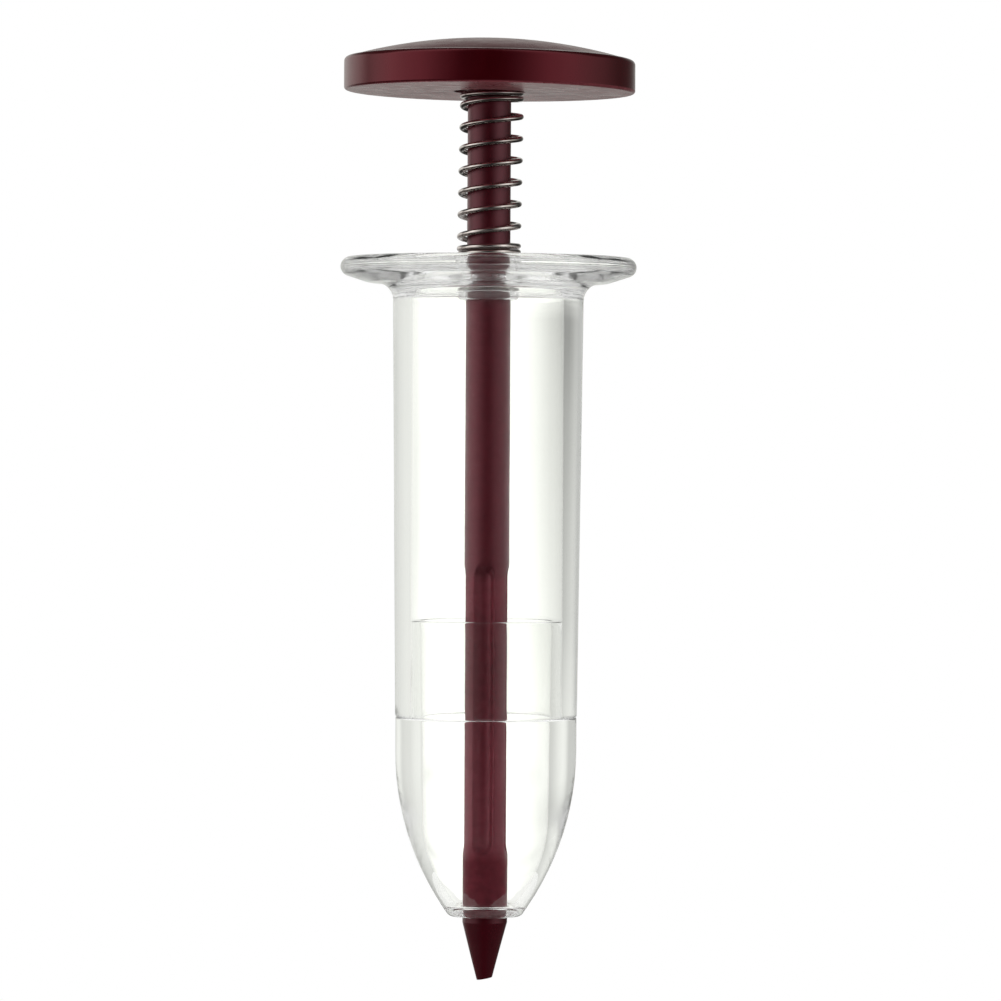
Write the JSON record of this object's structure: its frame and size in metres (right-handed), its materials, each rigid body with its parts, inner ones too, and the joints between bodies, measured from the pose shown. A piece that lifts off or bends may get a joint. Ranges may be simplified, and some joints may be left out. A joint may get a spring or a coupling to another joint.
{
  "type": "syringe seeder",
  "caption": "Hand seed sower: clear flanged barrel with a pull-off ogive nose, and a fluted plunger rod with a pointed tip, return spring and broad domed thumb button.",
  "frame": {"origin": "on the axis, in the plane of the finger flange's flat underside", "axes": "+Z along the axis towards the thumb button, -Y towards the viewer of the picture, +X to the right"},
  "size_m": [0.0423, 0.0422, 0.1346],
  "materials": {
    "clear_barrel": "clear glossy moulded styrene",
    "clear_nose": "clear glossy moulded styrene",
    "maroon_rod": "semi-gloss moulded maroon plastic",
    "maroon_button": "semi-gloss moulded maroon plastic",
    "spring_wire": "bright drawn spring wire"
  },
  "bodies": {
    "barrel": {"barrel": "clear_barrel"},
    "spring": {"return_spring": "spring_wire"},
    "plunger": {"plunger_rod": "maroon_rod", "thumb_button": "maroon_button"},
    "nose": {"nose_cone": "clear_nose"}
  },
  "joints": [
    {"name": "plunger_turn", "type": "hinge", "parent": "barrel", "child": "spring", "pos_m": [0, 0, 0], "axis": [0, 0, 1], "continuous": true},
    {"name": "plunger_press", "type": "slide", "parent": "spring", "child": "plunger", "axis": [0, 0, -1], "range_m": [0, 0.015], "stiffness_N_per_m": 975, "springref_m": -0.002, "deforming": ["return_spring"]},
    {"name": "nose_pull", "type": "slide", "parent": "barrel", "child": "nose", "axis": [0, 0, -1], "range_m": [0, 0.054]}
  ]
}
